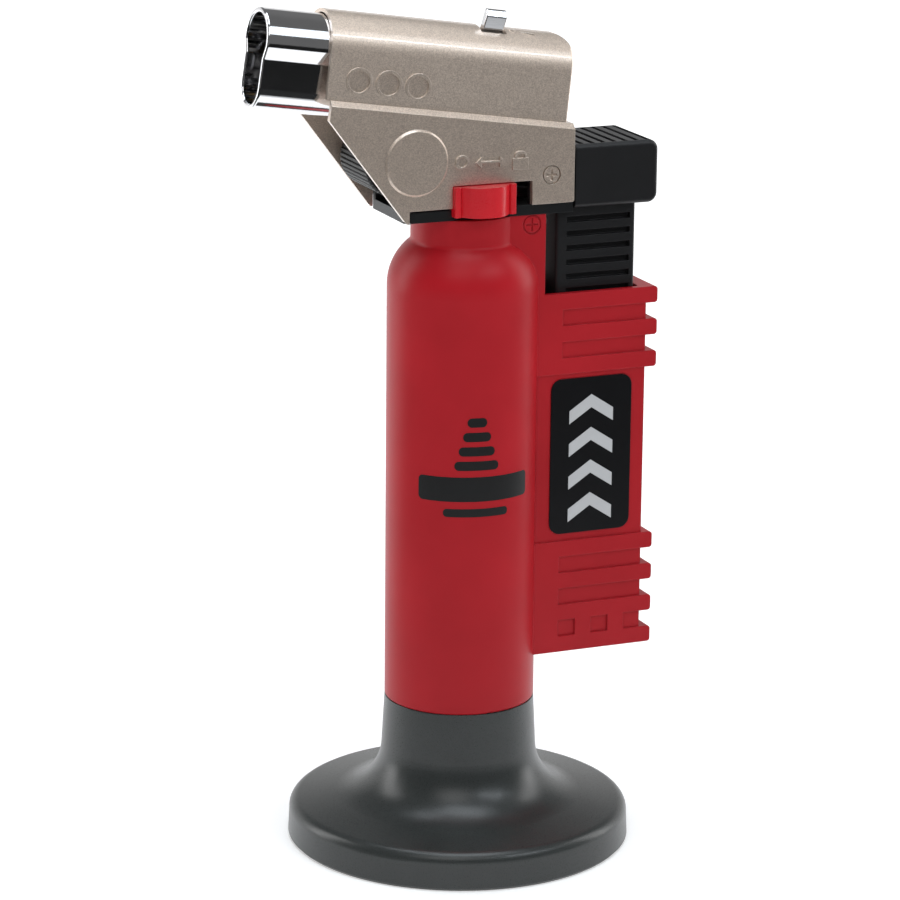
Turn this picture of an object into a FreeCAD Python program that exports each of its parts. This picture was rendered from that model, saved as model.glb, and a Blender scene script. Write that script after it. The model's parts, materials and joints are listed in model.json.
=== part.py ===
import FreeCAD, Part
import Sketcher
import math
import os
from FreeCAD import Placement, Rotation, Vector

# Refillable lampwork torch: an upright fuel tank with a moulded handle, a tilted
# burner head with a side trigger, and a flared foot that the tank lifts out of.
# +Z is up, the origin is on the tank's axis at the foot's underside, the nozzle
# points along -X, the trigger is on the +X side. Millimetres throughout.

doc = FreeCAD.newDocument("torch")
sheet = doc.addObject("Spreadsheet::Sheet", "Sizes")
sheet_rows = []


class Size:
    """A length with its value and the sheet formula it comes from."""

    def __init__(self, value, formula=None):
        self.value = float(value)
        self.formula = formula if formula else repr(round(self.value, 6))

    def __add__(self, other):
        other = as_size(other)
        return Size(self.value + other.value, "(%s + %s)" % (self.formula, other.formula))

    def __radd__(self, other):
        return as_size(other) + self

    def __sub__(self, other):
        other = as_size(other)
        return Size(self.value - other.value, "(%s - %s)" % (self.formula, other.formula))

    def __rsub__(self, other):
        return as_size(other) - self

    def __mul__(self, other):
        other = as_size(other)
        return Size(self.value * other.value, "(%s * %s)" % (self.formula, other.formula))

    def __rmul__(self, other):
        return as_size(other) * self

    def __neg__(self):
        return Size(-self.value, "(0 - %s)" % self.formula)


def as_size(number):
    return number if isinstance(number, Size) else Size(number)


def size(alias, value, meaning):
    """One driving dimension: a row of the sheet, used everywhere by its alias."""
    row = len(sheet_rows) + 1
    sheet_rows.append(alias)
    sheet.set("A%d" % row, meaning)
    sheet.set("B%d" % row, str(value))
    sheet.setAlias("B%d" % row, alias)
    return Size(value, "Sizes." + alias)


# ---------------------------------------------------------------- driving sizes
fit_gap = size("fit_gap", 0.05, "radial gap of a sliding or running fit")
stand_radius = size("stand_radius", 33.3, "foot, outer radius")
stand_rim_height = size("stand_rim_height", 7.1, "foot, top of the rim")
stand_rim_round = size("stand_rim_round", 2.2, "foot, rounding of the rim")
stand_flare_height = size("stand_flare_height", 10.0, "foot, height where disc and neck lines meet")
stand_flare_round = size("stand_flare_round", 10.5, "foot, radius of the concave flare")
stand_neck_radius = size("stand_neck_radius", 15.5, "foot, neck radius at the flare")
stand_height = size("stand_height", 28.6, "foot, height of the cup's mouth")
cup_floor = size("cup_floor", 14.0, "foot, level the tank's plug stands on")
cup_hole_radius = size("cup_hole_radius", 8.0, "foot, opening under the fill valve")
rib_wall = size("rib_wall", 1.2, "moulded webs and thin walls")
tank_radius = size("tank_radius", 14.5, "tank, outer radius")
plug_radius = size("plug_radius", 13.0, "tank, plug that drops into the foot")
reservoir_radius = size("reservoir_radius", 12.7, "tank, fuel space radius")
reservoir_top = size("reservoir_top", 112.5, "tank, top of the fuel space")
fill_pin_radius = size("fill_pin_radius", 1.6, "fill valve, radius of the pin a fuel can's nozzle fits over")
cap_radius = size("cap_radius", 11.35, "tank, welded bottom cap radius")
cap_top = size("cap_top", 17.0, "tank, inner face of the bottom cap")
shoulder_height = size("shoulder_height", 114.9, "tank, height where wall and shoulder lines meet")
shoulder_round = size("shoulder_round", 11.0, "tank, shoulder rounding")
neck_radius = size("neck_radius", 10.1, "tank neck radius")
neck_start = size("neck_start", 118.9, "tank, foot of the neck")
neck_top = size("neck_top", 124.2, "tank neck, top face")
handle_width = size("handle_width", 16.2, "handle block, width across")
handle_back = size("handle_back", 34.9, "handle block, back face between the ribs")
rib_tip = size("rib_tip", 37.1, "handle ribs, back edge")
handle_bottom = size("handle_bottom", 37.1, "handle, underside")
handle_top = size("handle_top", 108.4, "handle, top face")
rib_height = size("rib_height", 3.15, "handle ribs, height of one")
upper_rib_pitch = size("upper_rib_pitch", 6.3, "upper handle ribs, spacing")
lower_rib_pitch = size("lower_rib_pitch", 6.4, "lower handle ribs, spacing")
groove_depth = size("groove_depth", 0.45, "handle, depth of the side recesses")
groove_start = size("groove_start", 17.3, "handle, front end of the side recesses")
web_back = size("web_back", 13.4, "flat wall in front of the trigger, back face")
well_wall = size("well_wall", 1.25, "trigger well, side wall")
well_bottom = size("well_bottom", 60.0, "trigger well, floor")
mark_radius = size("mark_radius", 1.9, "moulded plus mark, ring radius")
head_tilt = size("head_tilt", 8.44, "burner head, nozzle-up tilt in degrees")
step_height = size("step_height", 143.83, "line between lower and upper head, height on the tank axis")
plate_width = size("plate_width", 17.8, "lower head, width across")
plate_wall = size("plate_wall", 1.2, "lower head, wall")
plate_front = size("plate_front", 30.35, "lower head, front edge along the burner axis")
plate_lip = size("plate_lip", 3.75, "lower head, depth of the upright front edge")
plate_back = size("plate_back", 18.75, "lower head, back edge")
plate_bottom = size("plate_bottom", 126.65, "lower head, bottom edge")
plate_tip = size("plate_tip", 124.25, "lower head, lowest point of the front corner")
slot_left = size("slot_left", -6.1, "lock slot, front end")
slot_right = size("slot_right", 10.15, "lock slot, back end")
slot_top = size("slot_top", 130.9, "lock slot, upper edge")
boss_x = size("boss_x", -13.35, "round boss, along")
boss_z = size("boss_z", 135.7, "round boss, height")
boss_radius = size("boss_radius", 6.3, "round boss, radius")
chassis_front = size("chassis_front", -14.3, "chassis, front end of its floor")
chassis_nose = size("chassis_nose", -15.4, "chassis, front end between the plates")
chassis_top = size("chassis_top", 137.0, "chassis, top of its side walls")
dial_room = size("dial_room", 128.8, "chassis, side walls' height beside the gas dial")
screw_x = size("screw_x", 14.05, "head screw, along")
screw_z = size("screw_z", 131.7, "head screw, height")
screw_radius = size("screw_radius", 1.6, "head screw, head radius")
barrel_front = size("barrel_front", 31.1, "upper head, front edge along the burner axis")
barrel_back = size("barrel_back", 17.8, "upper head, back wall behind the tank axis")
barrel_rise = size("barrel_rise", 15.8, "upper head, crest above the step line")
barrel_foot = size("barrel_foot", 7.75, "upper head, half width at its lower edge")
barrel_crown = size("barrel_crown", 6.3, "upper head, half width of the crown's corner")
barrel_round = size("barrel_round", 6.8, "upper head, crown rounding")
barrel_heel = size("barrel_heel", 3.0, "upper head, rounding of the crest into the back wall")
barrel_wall = size("barrel_wall", 0.7, "upper head, wall")
burner_rise = size("burner_rise", 8.65, "burner axis above the step line")
nozzle_reach = size("nozzle_reach", 43.4, "nozzle mouth along the burner axis")
nozzle_half = size("nozzle_half", 6.1, "nozzle, half width of its round upper part")
nozzle_waist = size("nozzle_waist", 5.0, "nozzle, half width of its lower part")
nozzle_drop = size("nozzle_drop", 3.9, "nozzle, lowest point below the step line")
nozzle_wall = size("nozzle_wall", 1.0, "nozzle, wall thickness")
nozzle_sole = size("nozzle_sole", 4.5, "nozzle, rounding of its underside")
waist_top = size("waist_top", 5.9, "nozzle, top of its straight lower sides")
shoulder_top = size("shoulder_top", 8.4, "nozzle, where the sloping sides meet the round top")
burner_mouth = size("burner_mouth", -34.0, "burner tube, front end along the burner axis")
cap_front = size("cap_front", 19.15, "thumb trigger cap, front face")
cap_rear = size("cap_rear", 36.4, "thumb trigger cap, back face")
cap_low = size("cap_low", 124.9, "thumb trigger cap, underside")
cap_high = size("cap_high", 137.0, "thumb trigger cap, top")
cap_width = size("cap_width", 17.4, "thumb trigger cap, width across")
stem_front = size("stem_front", 16.3, "trigger stem, front face")
stem_rear = size("stem_rear", 32.8, "trigger stem, back face")
stem_width = size("stem_width", 13.2, "trigger stem, width across")
stem_low = size("stem_low", 96.0, "trigger stem, lower end")
louvre_pitch = size("louvre_pitch", 2.76, "trigger stem, spacing of its grip grooves")
dial_x = size("dial_x", -16.4, "gas dial axis, along")
dial_z = size("dial_z", 134.8, "gas dial axis, height")
dial_radius = size("dial_radius", 5.8, "gas dial, radius over the ribs")
dial_width = size("dial_width", 13.6, "gas dial, width")
dial_offset = size("dial_offset", 0.9, "gas dial, shift toward the far side")
far_bulge = size("far_bulge", 1.8, "lower head, extra width of the far plate beside the dial")
bulge_back = size("bulge_back", -8.0, "lower head, back end of the far plate's bulge")
tube_radius = size("tube_radius", 4.2, "burner tube, outer radius")
sleeve_radius = size("sleeve_radius", 5.0, "air sleeve, outer radius")
lever_tip = size("lever_tip", 10.9, "air lever, tip above the burner axis")
lever_width = size("lever_width", 4.2, "air lever, width along the burner axis")
air_hole_along = size("air_hole_along", 1.8, "air holes, distance behind the tilt axis")
dimple_first = size("dimple_first", -25.1, "upper head, first side dimple along the burner axis")
dimple_pitch = size("dimple_pitch", 5.93, "upper head, spacing of the side dimples")
dimple_rise = size("dimple_rise", 3.9, "upper head, side dimples above the step line")
dimple_radius = size("dimple_radius", 2.05, "upper head, side dimple radius")
symbol_level = size("symbol_level", 135.3, "lower head, height of the raised lock symbols")
symbol_depth = size("symbol_depth", 0.56, "raised lock symbols, thickness with their root")
lever_angle = size("lever_angle", 17.0, "air lever, rest angle from the crest in degrees")
hose_radius = size("hose_radius", 1.5, "gas hose, outer radius")
hose_x = size("hose_x", -3.8, "gas hose, where it leaves the valve")
pivot_x = size("pivot_x", 2.9, "rocker pivot, along")
pivot_z = size("pivot_z", 127.9, "rocker pivot, height")
label_thickness = size("label_thickness", 0.25, "label thickness")


def tangent(angle):
    return Size(math.tan(math.radians(angle.value)), "tan(%s * 1 deg)" % angle.formula)


def sine(angle):
    return Size(math.sin(math.radians(angle.value)), "sin(%s * 1 deg)" % angle.formula)


def cosine(angle):
    return Size(math.cos(math.radians(angle.value)), "cos(%s * 1 deg)" % angle.formula)


def head_x(back, rise):
    """World X of a point given along (towards the back) and above the step line."""
    return back * cosine(head_tilt) + rise * sine(head_tilt)


def head_z(back, rise):
    return step_height - back * sine(head_tilt) + rise * cosine(head_tilt)


def in_head(item):
    """Tilts a piece drawn square to the burner axis into its place."""
    item.Placement = Placement(Vector(0, 0, step_height.value), Rotation(Vector(0, 1, 0), head_tilt.value))
    item.setExpression("Placement.Base.z", step_height.formula)
    item.setExpression("Placement.Rotation.Angle", head_tilt.formula)


# ---------------------------------------------------------------- drawing tools
def new_body(label):
    body = doc.addObject("PartDesign::Body", label)
    body.Label = label
    return body


def origin_part(body, role):
    return [item for item in body.Origin.OriginFeatures if item.Role == role][0]


def new_sketch(body, name, role, lift=None):
    sketch = body.newObject("Sketcher::SketchObject", name)
    sketch.AttachmentSupport = [(origin_part(body, role), "")]
    sketch.MapMode = "FlatFace"
    if lift is not None:
        lift = as_size(lift)
        sketch.AttachmentOffset = Placement(Vector(0, 0, lift.value), Rotation())
        sketch.setExpression("AttachmentOffset.Base.z", lift.formula)
    return sketch


def hold(sketch, kind, item, end, length):
    """Dimensions one point from the sketch's origin, driven by the sheet."""
    length = as_size(length)
    index = sketch.addConstraint(Sketcher.Constraint(kind, -1, 1, item, end, length.value))
    sketch.setExpression("Constraints[%d]" % index, length.formula)


def rounding(before, corner, after, radius):
    """Start, middle and end of the arc that rounds a corner, with its centre."""
    one = (before - corner).normalize()
    two = (after - corner).normalize()
    half = math.acos(max(-1.0, min(1.0, one.dot(two)))) / 2
    reach = radius / math.tan(half)
    start = corner + one * reach
    end = corner + two * reach
    centre = corner + (one + two).normalize() * (radius / math.sin(half))
    middle = centre + (corner - centre).normalize() * radius
    return start, middle, end, centre


def draw_loop(sketch, corners, closed=True):
    """Draws straight sides between corners; a corner's third value rounds it."""
    count = len(corners)
    spots = [Vector(as_size(c[0]).value, as_size(c[1]).value, 0) for c in corners]
    radii = [as_size(c[2]) if len(c) > 2 else None for c in corners]
    arcs = {}
    for i in range(count):
        if radii[i] is not None:
            arcs[i] = rounding(spots[i - 1], spots[i], spots[(i + 1) % count], radii[i].value)
    sides = []
    for i in range(count if closed else count - 1):
        j = (i + 1) % count
        start = arcs[i][2] if i in arcs else spots[i]
        end = arcs[j][0] if j in arcs else spots[j]
        sides.append(sketch.addGeometry(Part.LineSegment(start, end), False))
    for i in range(count):
        before = sides[i - 1] if closed or i > 0 else None
        after = sides[i] if closed or i < count - 1 else None
        if i not in arcs:
            item, end = (after, 1) if after is not None else (before, 2)
            if before is not None and after is not None:
                sketch.addConstraint(Sketcher.Constraint("Coincident", before, 2, after, 1))
            hold(sketch, "DistanceX", item, end, corners[i][0])
            hold(sketch, "DistanceY", item, end, corners[i][1])
            continue
        start, middle, end, centre = arcs[i]
        corner = sketch.addGeometry(Part.Point(spots[i]), True)
        hold(sketch, "DistanceX", corner, 1, corners[i][0])
        hold(sketch, "DistanceY", corner, 1, corners[i][1])
        sketch.addConstraint(Sketcher.Constraint("PointOnObject", corner, 1, before))
        sketch.addConstraint(Sketcher.Constraint("PointOnObject", corner, 1, after))
        curve = Part.Arc(start, middle, end)
        arc = sketch.addGeometry(curve, False)
        forward = (start - centre).cross(end - centre).z > 0
        first, last = (1, 2) if forward else (2, 1)
        sketch.addConstraint(Sketcher.Constraint("Tangent", before, 2, arc, first))
        sketch.addConstraint(Sketcher.Constraint("Tangent", arc, last, after, 1))
        index = sketch.addConstraint(Sketcher.Constraint("Radius", arc, radii[i].value))
        sketch.setExpression("Constraints[%d]" % index, radii[i].formula)


def draw_circle(sketch, x, y, radius):
    x, y, radius = as_size(x), as_size(y), as_size(radius)
    ring = Part.Circle(Vector(x.value, y.value, 0), Vector(0, 0, 1), radius.value)
    circle = sketch.addGeometry(ring, False)
    hold(sketch, "DistanceX", circle, 3, x)
    hold(sketch, "DistanceY", circle, 3, y)
    index = sketch.addConstraint(Sketcher.Constraint("Radius", circle, radius.value))
    sketch.setExpression("Constraints[%d]" % index, radius.formula)


def outline(body, name, role, loops, circles=(), lift=None):
    sketch = new_sketch(body, name, role, lift)
    for loop in loops:
        draw_loop(sketch, loop)
    for circle in circles:
        draw_circle(sketch, *circle)
    return sketch


def box_loop(left, right, low, high):
    return [(left, low), (right, low), (right, high), (left, high)]


def feature(body, kind, name, sketch, length, both_ways=False, other_way=False):
    """A pad or pocket of the sketch; both_ways spreads its length evenly."""
    item = body.newObject("PartDesign::" + kind, name)
    item.Profile = sketch
    item.Length = as_size(length).value
    item.setExpression("Length", as_size(length).formula)
    if both_ways:
        item.SideType = "Symmetric"
    item.Reversed = other_way
    sketch.Visibility = False
    return item


def turned(body, name, loops, axis="V_Axis", cut=False):
    """Turns an outline drawn in the XZ plane about its vertical (or lying) axis."""
    sketch = outline(body, name + "_outline", "XZ_Plane", loops)
    item = body.newObject("PartDesign::Groove" if cut else "PartDesign::Revolution", name)
    item.Profile = sketch
    item.ReferenceAxis = (sketch, [axis])
    item.Angle = 360
    return item


def mirrored(body, name, source, role="XZ_Plane"):
    item = body.newObject("PartDesign::Mirrored", name)
    item.Originals = [source]
    item.MirrorPlane = (origin_part(body, role), [""])
    body.Tip = item
    return item


def repeated(body, name, source, role, pitch, count):
    item = body.newObject("PartDesign::LinearPattern", name)
    item.Originals = [source]
    item.Direction = (origin_part(body, role), [""])
    reach = as_size(pitch) * (count - 1)
    item.Length = reach.value
    item.setExpression("Length", reach.formula)
    item.Occurrences = count
    body.Tip = item
    return item


def around(body, name, source, role, count):
    item = body.newObject("PartDesign::PolarPattern", name)
    item.Originals = [source]
    item.Axis = (origin_part(body, role), [""])
    item.Angle = 360
    item.Occurrences = count
    body.Tip = item
    return item


def edges_where(item, test):
    """Names of the edges whose middle and end points all pass the test."""
    names = []
    for number, edge in enumerate(item.Shape.Edges, 1):
        first, last = edge.ParameterRange
        spots = [edge.valueAt(first), edge.valueAt((first + last) / 2), edge.valueAt(last)]
        if all(test(spot) for spot in spots):
            names.append("Edge%d" % number)
    return names


def dressed(body, kind, name, source, test, amount):
    """A fillet or chamfer on the edges that pass the test."""
    doc.recompute()
    item = body.newObject("PartDesign::" + kind, name)
    item.Base = (source, edges_where(source, test))
    prop = "Radius" if kind == "Fillet" else "Size"
    setattr(item, prop, as_size(amount).value)
    item.setExpression(prop, as_size(amount).formula)
    return item


def near(value, target, slack=0.01):
    return abs(value - as_size(target).value) < slack


def spring(label, radius, wire, low, high, turns, at_x=0.0):
    """A round-wire coil spring standing on Z."""
    path = doc.addObject("Part::Helix", label + "_path")
    section = doc.addObject("Part::Circle", label + "_wire")
    body = doc.addObject("Part::Sweep", label)
    radius, wire, low, high = [as_size(value) for value in (radius, wire, low, high)]
    height = high - low - wire * 2
    path.Radius = radius.value
    path.setExpression("Radius", radius.formula)
    path.Height = height.value
    path.setExpression("Height", height.formula)
    path.Pitch = height.value / turns
    path.setExpression("Pitch", "%s / %s" % (height.formula, turns))
    base = low + wire
    at_x = as_size(at_x)
    path.Placement = Placement(Vector(at_x.value, 0, base.value), Rotation())
    path.setExpression("Placement.Base.x", at_x.formula)
    path.setExpression("Placement.Base.z", base.formula)
    section.Radius = wire.value
    section.setExpression("Radius", wire.formula)
    edge = at_x + radius
    section.Placement = Placement(Vector(edge.value, 0, base.value), Rotation(Vector(1, 0, 0), 90))
    section.setExpression("Placement.Base.x", edge.formula)
    section.setExpression("Placement.Base.z", base.formula)
    body.Sections = [section]
    body.Spine = (path, ["Edge1"])
    body.Solid = True
    body.Frenet = True
    body.Label = label
    return body


# ---------------------------------------------------------------- foot and tank
def make_stand():
    body = new_body("stand_base")
    cup_radius = plug_radius + fit_gap
    section = [
        (cup_radius, stand_height), (cup_radius, cup_floor), (cup_hole_radius, cup_floor),
        (cup_hole_radius, 1.0), (cup_hole_radius + rib_wall, 1.0),
        (cup_hole_radius + rib_wall, cup_floor - 2.3),
        (stand_neck_radius + 1.2, cup_floor - 2.9, 2.0), (stand_neck_radius + 6.5, 7.4, 3.0),
        (stand_radius - 2.3, 4.7, 1.0), (stand_radius - 2.1, 0.0), (stand_radius - 0.6, 0.0),
        (stand_radius, 0.6), (stand_radius - 0.3, stand_rim_height, stand_rim_round),
        (stand_neck_radius, stand_flare_height, stand_flare_round), (tank_radius, stand_height),
    ]
    turned(body, "foot", [section])
    web = outline(body, "web_outline", "XZ_Plane", [[
        (cup_hole_radius + 0.6, 1.0), (stand_radius - 1.6, 1.0), (stand_radius - 1.6, 5.2),
        (stand_neck_radius + 6.5, 8.0), (stand_neck_radius + 1.2, cup_floor - 2.3),
        (cup_hole_radius + 0.6, cup_floor - 1.8),
    ]])
    web_pad = feature(body, "Pad", "web", web, rib_wall, both_ways=True)
    around(body, "webs", web_pad, "Z_Axis", 6)
    return body


def handle_recesses():
    """Outlines of the shallow side recesses between the ribs and behind the label."""
    loops = []
    for step in range(2):
        high = handle_top - rib_height - upper_rib_pitch * step
        loops.append(box_loop(groove_start, rib_tip + 1, high - (upper_rib_pitch - rib_height), high))
    for step in range(2):
        low = handle_bottom + rib_height + lower_rib_pitch * (step + 1)
        loops.append(box_loop(groove_start, rib_tip + 1, low, low + (lower_rib_pitch - rib_height)))
    label_high = handle_top - upper_rib_pitch * 2 - rib_height
    label_low = handle_bottom + lower_rib_pitch * 3 + rib_height
    loops.append(box_loop(tank_radius - 3, rib_tip + 1, label_low, label_high))
    for step in range(3):
        front = groove_start + 7.0 * step
        low = handle_bottom + rib_height
        loops.append(box_loop(front, front + 3.6, low, low + (lower_rib_pitch - rib_height)))
    return loops


def plus_loop(x, z, arm, bar):
    return [
        (x - arm, z - bar), (x - bar, z - bar), (x - bar, z - arm), (x + bar, z - arm),
        (x + bar, z - bar), (x + arm, z - bar), (x + arm, z + bar), (x + bar, z + bar),
        (x + bar, z + arm), (x - bar, z + arm), (x - bar, z + bar), (x - arm, z + bar),
    ]


def make_tank():
    body = new_body("tank_body")
    turned(body, "shell", [[
        (0, cup_floor), (plug_radius, cup_floor, 0.8), (plug_radius, stand_height),
        (tank_radius, stand_height, 0.4),
        (tank_radius, shoulder_height, shoulder_round), (neck_radius, neck_start, 1.0),
        (neck_radius, neck_top), (0, neck_top),
    ]])
    block = outline(body, "handle_outline", "XZ_Plane",
        [box_loop(8.0, handle_back, handle_bottom, handle_top)])
    feature(body, "Pad", "handle", block, handle_width, both_ways=True)
    web = outline(body, "front_wall_outline", "XZ_Plane", [box_loop(2.0, web_back, handle_top - 6, neck_top)])
    feature(body, "Pad", "front_wall", web, handle_width, both_ways=True)
    for name, low, pitch, count in (
        ("upper", handle_top - rib_height - upper_rib_pitch * 2, upper_rib_pitch, 3),
        ("lower", handle_bottom, lower_rib_pitch, 4),
    ):
        rib = outline(body, name + "_rib_outline", "XZ_Plane", [[
            (handle_back - 1, low), (rib_tip, low, 0.6), (rib_tip, low + rib_height, 0.6),
            (handle_back - 1, low + rib_height),
        ]])
        pad = feature(body, "Pad", name + "_rib", rib, handle_width, both_ways=True)
        repeated(body, name + "_ribs", pad, "Z_Axis", pitch, count)
    recess = outline(body, "recess_outline", "XZ_Plane", handle_recesses(), lift=handle_width * 0.5)
    cut = feature(body, "Pocket", "recess", recess, groove_depth)
    mirrored(body, "recesses", cut)
    ring_z = neck_top - mark_radius
    ring = outline(body, "mark_ring_outline", "XZ_Plane", [], [
        (web_back - 2.9, ring_z, mark_radius), (web_back - 2.9, ring_z, mark_radius - 0.3),
    ], lift=handle_width * 0.5)
    feature(body, "Pocket", "mark_ring", ring, 0.2)
    plus = outline(body, "mark_plus_outline", "XZ_Plane",
        [plus_loop(web_back - 2.9, ring_z, as_size(1.2), as_size(0.16))],
                   lift=handle_width * 0.5)
    feature(body, "Pocket", "mark_plus", plus, 0.2)
    half = handle_width * 0.5 - well_wall
    well = outline(body, "well_outline", "XY_Plane", [[
        (web_back + 0.2, -half, 0.8), (handle_back - well_wall, -half, 0.8),
        (handle_back - well_wall, half, 0.8), (web_back + 0.2, half, 0.8),
    ]], lift=neck_top + 1)
    feature(body, "Pocket", "well", well, neck_top + 1 - well_bottom)
    core = outline(body, "core_outline", "XY_Plane",
        [box_loop(tank_radius + 1.4, handle_back - well_wall, -half, half)],
                   lift=handle_bottom)
    feature(body, "Pocket", "core", core, well_bottom - rib_wall - handle_bottom, other_way=True)
    slot = outline(body, "rocker_slot_outline", "XY_Plane", [box_loop(6.0, web_back + 1, -2.2, 2.2)],
        lift=neck_top + 1)
    feature(body, "Pocket", "rocker_slot", slot, 6.2)
    cap_bore = cap_radius + fit_gap
    turned(body, "reservoir", [[
        (0, cup_floor - 1), (cap_bore, cup_floor - 1), (cap_bore, stand_height + 1),
        (reservoir_radius, stand_height + 3),
        (reservoir_radius, reservoir_top - 4), (8.0, reservoir_top), (0, reservoir_top),
    ]], cut=True)
    turned(body, "valve_seat", [[
        (0, reservoir_top - 1), (3.0, reservoir_top - 1), (3.0, reservoir_top + 2),
        (5.0 + fit_gap, reservoir_top + 2),
        (5.0 + fit_gap, neck_top + 1), (0, neck_top + 1),
    ]], cut=True)
    return body


def make_tank_cap():
    body = new_body("tank_bottom_cap")
    turned(body, "disc", [[
        (3.2, cup_floor + 0.4), (cap_radius, cup_floor + 0.4, 0.3), (cap_radius, cap_top), (3.2, cap_top),
    ]])
    return body


def make_fill_valve():
    low = cup_floor - 1.0
    body = new_body("fill_valve_body")
    turned(body, "barrel", [[
        (fill_pin_radius + fit_gap, low), (4.6, low, 0.3), (4.6, cup_floor + 0.35), (3.15, cup_floor + 0.35),
        (3.15, 25.5, 0.4), (0.7, 25.5), (0.7, 24.6), (2.2, 24.6), (2.2, cap_top),
        (fill_pin_radius + fit_gap, cap_top),
    ]])
    seal = new_body("fill_valve_seal")
    turned(seal, "ring", [[(1.25, 17.02), (2.15, 17.02, 0.25), (2.15, 17.9, 0.25), (1.25, 17.9)]])
    stem = new_body("fill_valve_stem")
    turned(stem, "pin", [[
        (0.35, low - 2.2), (fill_pin_radius, low - 2.2, 0.2), (fill_pin_radius, low - 0.05),
        (1.2, low - 0.05),
        (1.2, 17.95), (2.05, 17.95), (2.05, 19.3), (1.0, 19.3), (1.0, 20.4), (0.0, 20.4), (0.0, 18.6),
        (0.35, 18.6),
    ]])
    coil = spring("fill_valve_spring", 1.55, 0.2, 19.35, 24.55, 5)
    return [body, seal, stem, coil]


def make_outlet_valve():
    body = new_body("gas_valve_body")
    turned(body, "barrel", [[
        (0.5, reservoir_top - 3.5), (1.45, reservoir_top - 3.5), (1.45, reservoir_top - 1),
        (2.95, reservoir_top - 0.5),
        (2.95, reservoir_top + 2.05), (5.0, reservoir_top + 2.05), (5.0, neck_top - 0.05),
        (1.25, neck_top - 0.05),
        (1.25, 121.4), (2.6, 121.4), (2.6, 115.0), (0.5, 115.0),
    ]])
    nipple = outline(body, "nipple_outline", "XY_Plane", [], [(hose_x, 0, 0.85)], lift=neck_top - 1)
    feature(body, "Pad", "nipple", nipple, 3.4)
    port = outline(body, "port_outline", "XY_Plane", [], [(hose_x, 0, 0.45)], lift=neck_top + 3)
    feature(body, "Pocket", "port", port, 5.0)
    seal = new_body("gas_valve_seal")
    turned(seal, "ring", [[(1.25, 120.5), (2.55, 120.5, 0.3), (2.55, 121.35, 0.3), (1.25, 121.35)]])
    stem = new_body("gas_valve_stem")
    turned(stem, "pin", [[
        (0, 115.4), (2.4, 115.4, 0.3), (2.4, 116.6), (1.2, 116.6), (1.2, 130.0), (2.2, 130.0, 0.2),
        (2.2, 131.2, 0.2),
        (1.2, 131.2), (1.2, 132.2), (0, 132.2),
    ]])
    coil = spring("gas_valve_spring", 1.85, 0.25, 116.65, 120.45, 4)
    wick = new_body("fuel_pickup_tube")
    turned(wick, "tube",
        [[(0.95, 27.0), (1.4, 27.0), (1.4, reservoir_top - 3.55), (0.95, reservoir_top - 3.55)]])
    return [body, seal, stem, coil, wick]


# ---------------------------------------------------------------- burner head
def make_chassis():
    body = new_body("chassis")
    half = plate_width * 0.5 - 0.6
    sole = neck_top + 0.02
    deck = plate_bottom - 0.45
    rear = plate_back - 0.3
    floor = outline(body, "floor_outline", "XZ_Plane",
        [box_loop(chassis_front, plate_back + 0.1, sole, deck)])
    feature(body, "Pad", "floor", floor, half * 2, both_ways=True)
    wall_half = plate_width * 0.5 - plate_wall - fit_gap
    step = as_size(-9.0)
    wall = outline(body, "wall_outline", "XZ_Plane", [[
        (chassis_nose, sole), (rear, sole), (rear, chassis_top), (step, chassis_top), (step, dial_room),
        (chassis_nose, dial_room),
    ]])
    feature(body, "Pad", "walls", wall, wall_half * 2, both_ways=True)
    inside = wall_half - rib_wall
    room = outline(body, "room_outline", "XZ_Plane",
        [box_loop(chassis_nose - 5, plate_back + 2, deck, chassis_top + 3)])
    feature(body, "Pocket", "room", room, inside * 2, both_ways=True)
    trigger_half = stem_width * 0.5 + 0.15
    beyond = plate_back + 2
    valve_side, rocker_side, slit_end, stem_start = 3.2, 2.2, 5.0, 14.2
    notch = outline(body, "notch_outline", "XY_Plane", [[
        (-5.6, -valve_side), (slit_end, -valve_side), (slit_end, -rocker_side), (stem_start, -rocker_side),
        (stem_start, -trigger_half), (beyond, -trigger_half), (beyond, trigger_half),
        (stem_start, trigger_half),
        (stem_start, rocker_side), (slit_end, rocker_side), (slit_end, valve_side), (-5.6, valve_side),
    ]], lift=plate_bottom + 1)
    feature(body, "Pocket", "notches", notch, 5.0)
    side_room = outline(body, "side_room_outline", "XY_Plane",
        [box_loop(16.0, beyond, -trigger_half, trigger_half)],
                        lift=chassis_top + 1)
    feature(body, "Pocket", "side_room", side_room, 12.0)
    slot = outline(body, "lock_slot_outline", "XZ_Plane",
        [box_loop(slot_left, slot_right, deck, slot_top)], lift=half)
    feature(body, "Pocket", "lock_slot", slot, half - inside + 0.5)
    ear_foot = plate_bottom - 1.2
    ear_top = pivot_z + 1.4
    ears = outline(body, "ear_outline", "XZ_Plane", [[
        (pivot_x - 1.2, ear_foot), (pivot_x + 1.8, ear_foot), (pivot_x + 1.4, ear_top, 1.2),
        (pivot_x - 1.4, ear_top, 1.2),
    ]], lift=3.3)
    ear = feature(body, "Pad", "ear", ears, 1.4)
    mirrored(body, "ears", ear)
    pin_bore = outline(body, "hole_outline", "XZ_Plane", [], [(pivot_x, pivot_z, 0.8)])
    feature(body, "Pocket", "pin_hole", pin_bore, 10.0, both_ways=True)
    screws = outline(body, "screw_outline", "XZ_Plane", [], [(screw_x, screw_z, 0.95)])
    feature(body, "Pocket", "screw_holes", screws, 20.0, both_ways=True)
    return body


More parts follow.
